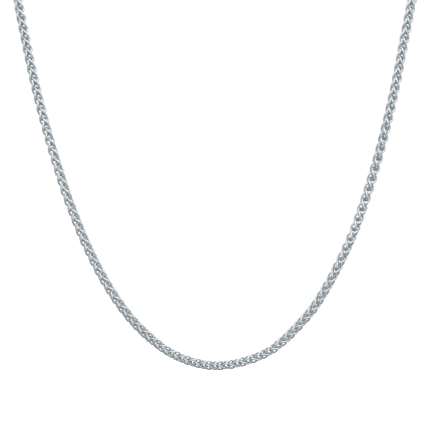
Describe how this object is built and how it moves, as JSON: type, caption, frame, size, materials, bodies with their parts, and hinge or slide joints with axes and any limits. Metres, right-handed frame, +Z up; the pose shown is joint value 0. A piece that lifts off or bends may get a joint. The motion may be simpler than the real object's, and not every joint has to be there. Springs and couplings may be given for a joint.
{
  "type": "wheat chain necklace",
  "caption": "Silver wheat chain necklace with a closed lobster clasp, a whole loop of woven links that keeps the hanging form it has on a neck.",
  "frame": {"origin": "middle of the nape, on the centreline of the loop, halfway between the two ends of the chain at the clasp", "axes": "+Z up as worn, -Y to the front of the wearer, +X to the right as seen from the front"},
  "size_m": [0.125, 0.1057, 0.1491],
  "materials": {
    "silver_chain": "polished sterling silver wire, rhodium plated, darker between the links",
    "silver_findings": "polished sterling silver, rhodium plated"
  },
  "bodies": {
    "root": {"chain": "silver_chain", "end_ring_left": "silver_findings", "end_ring_right": "silver_findings", "clasp": "silver_findings"}
  },
  "joints": []
}
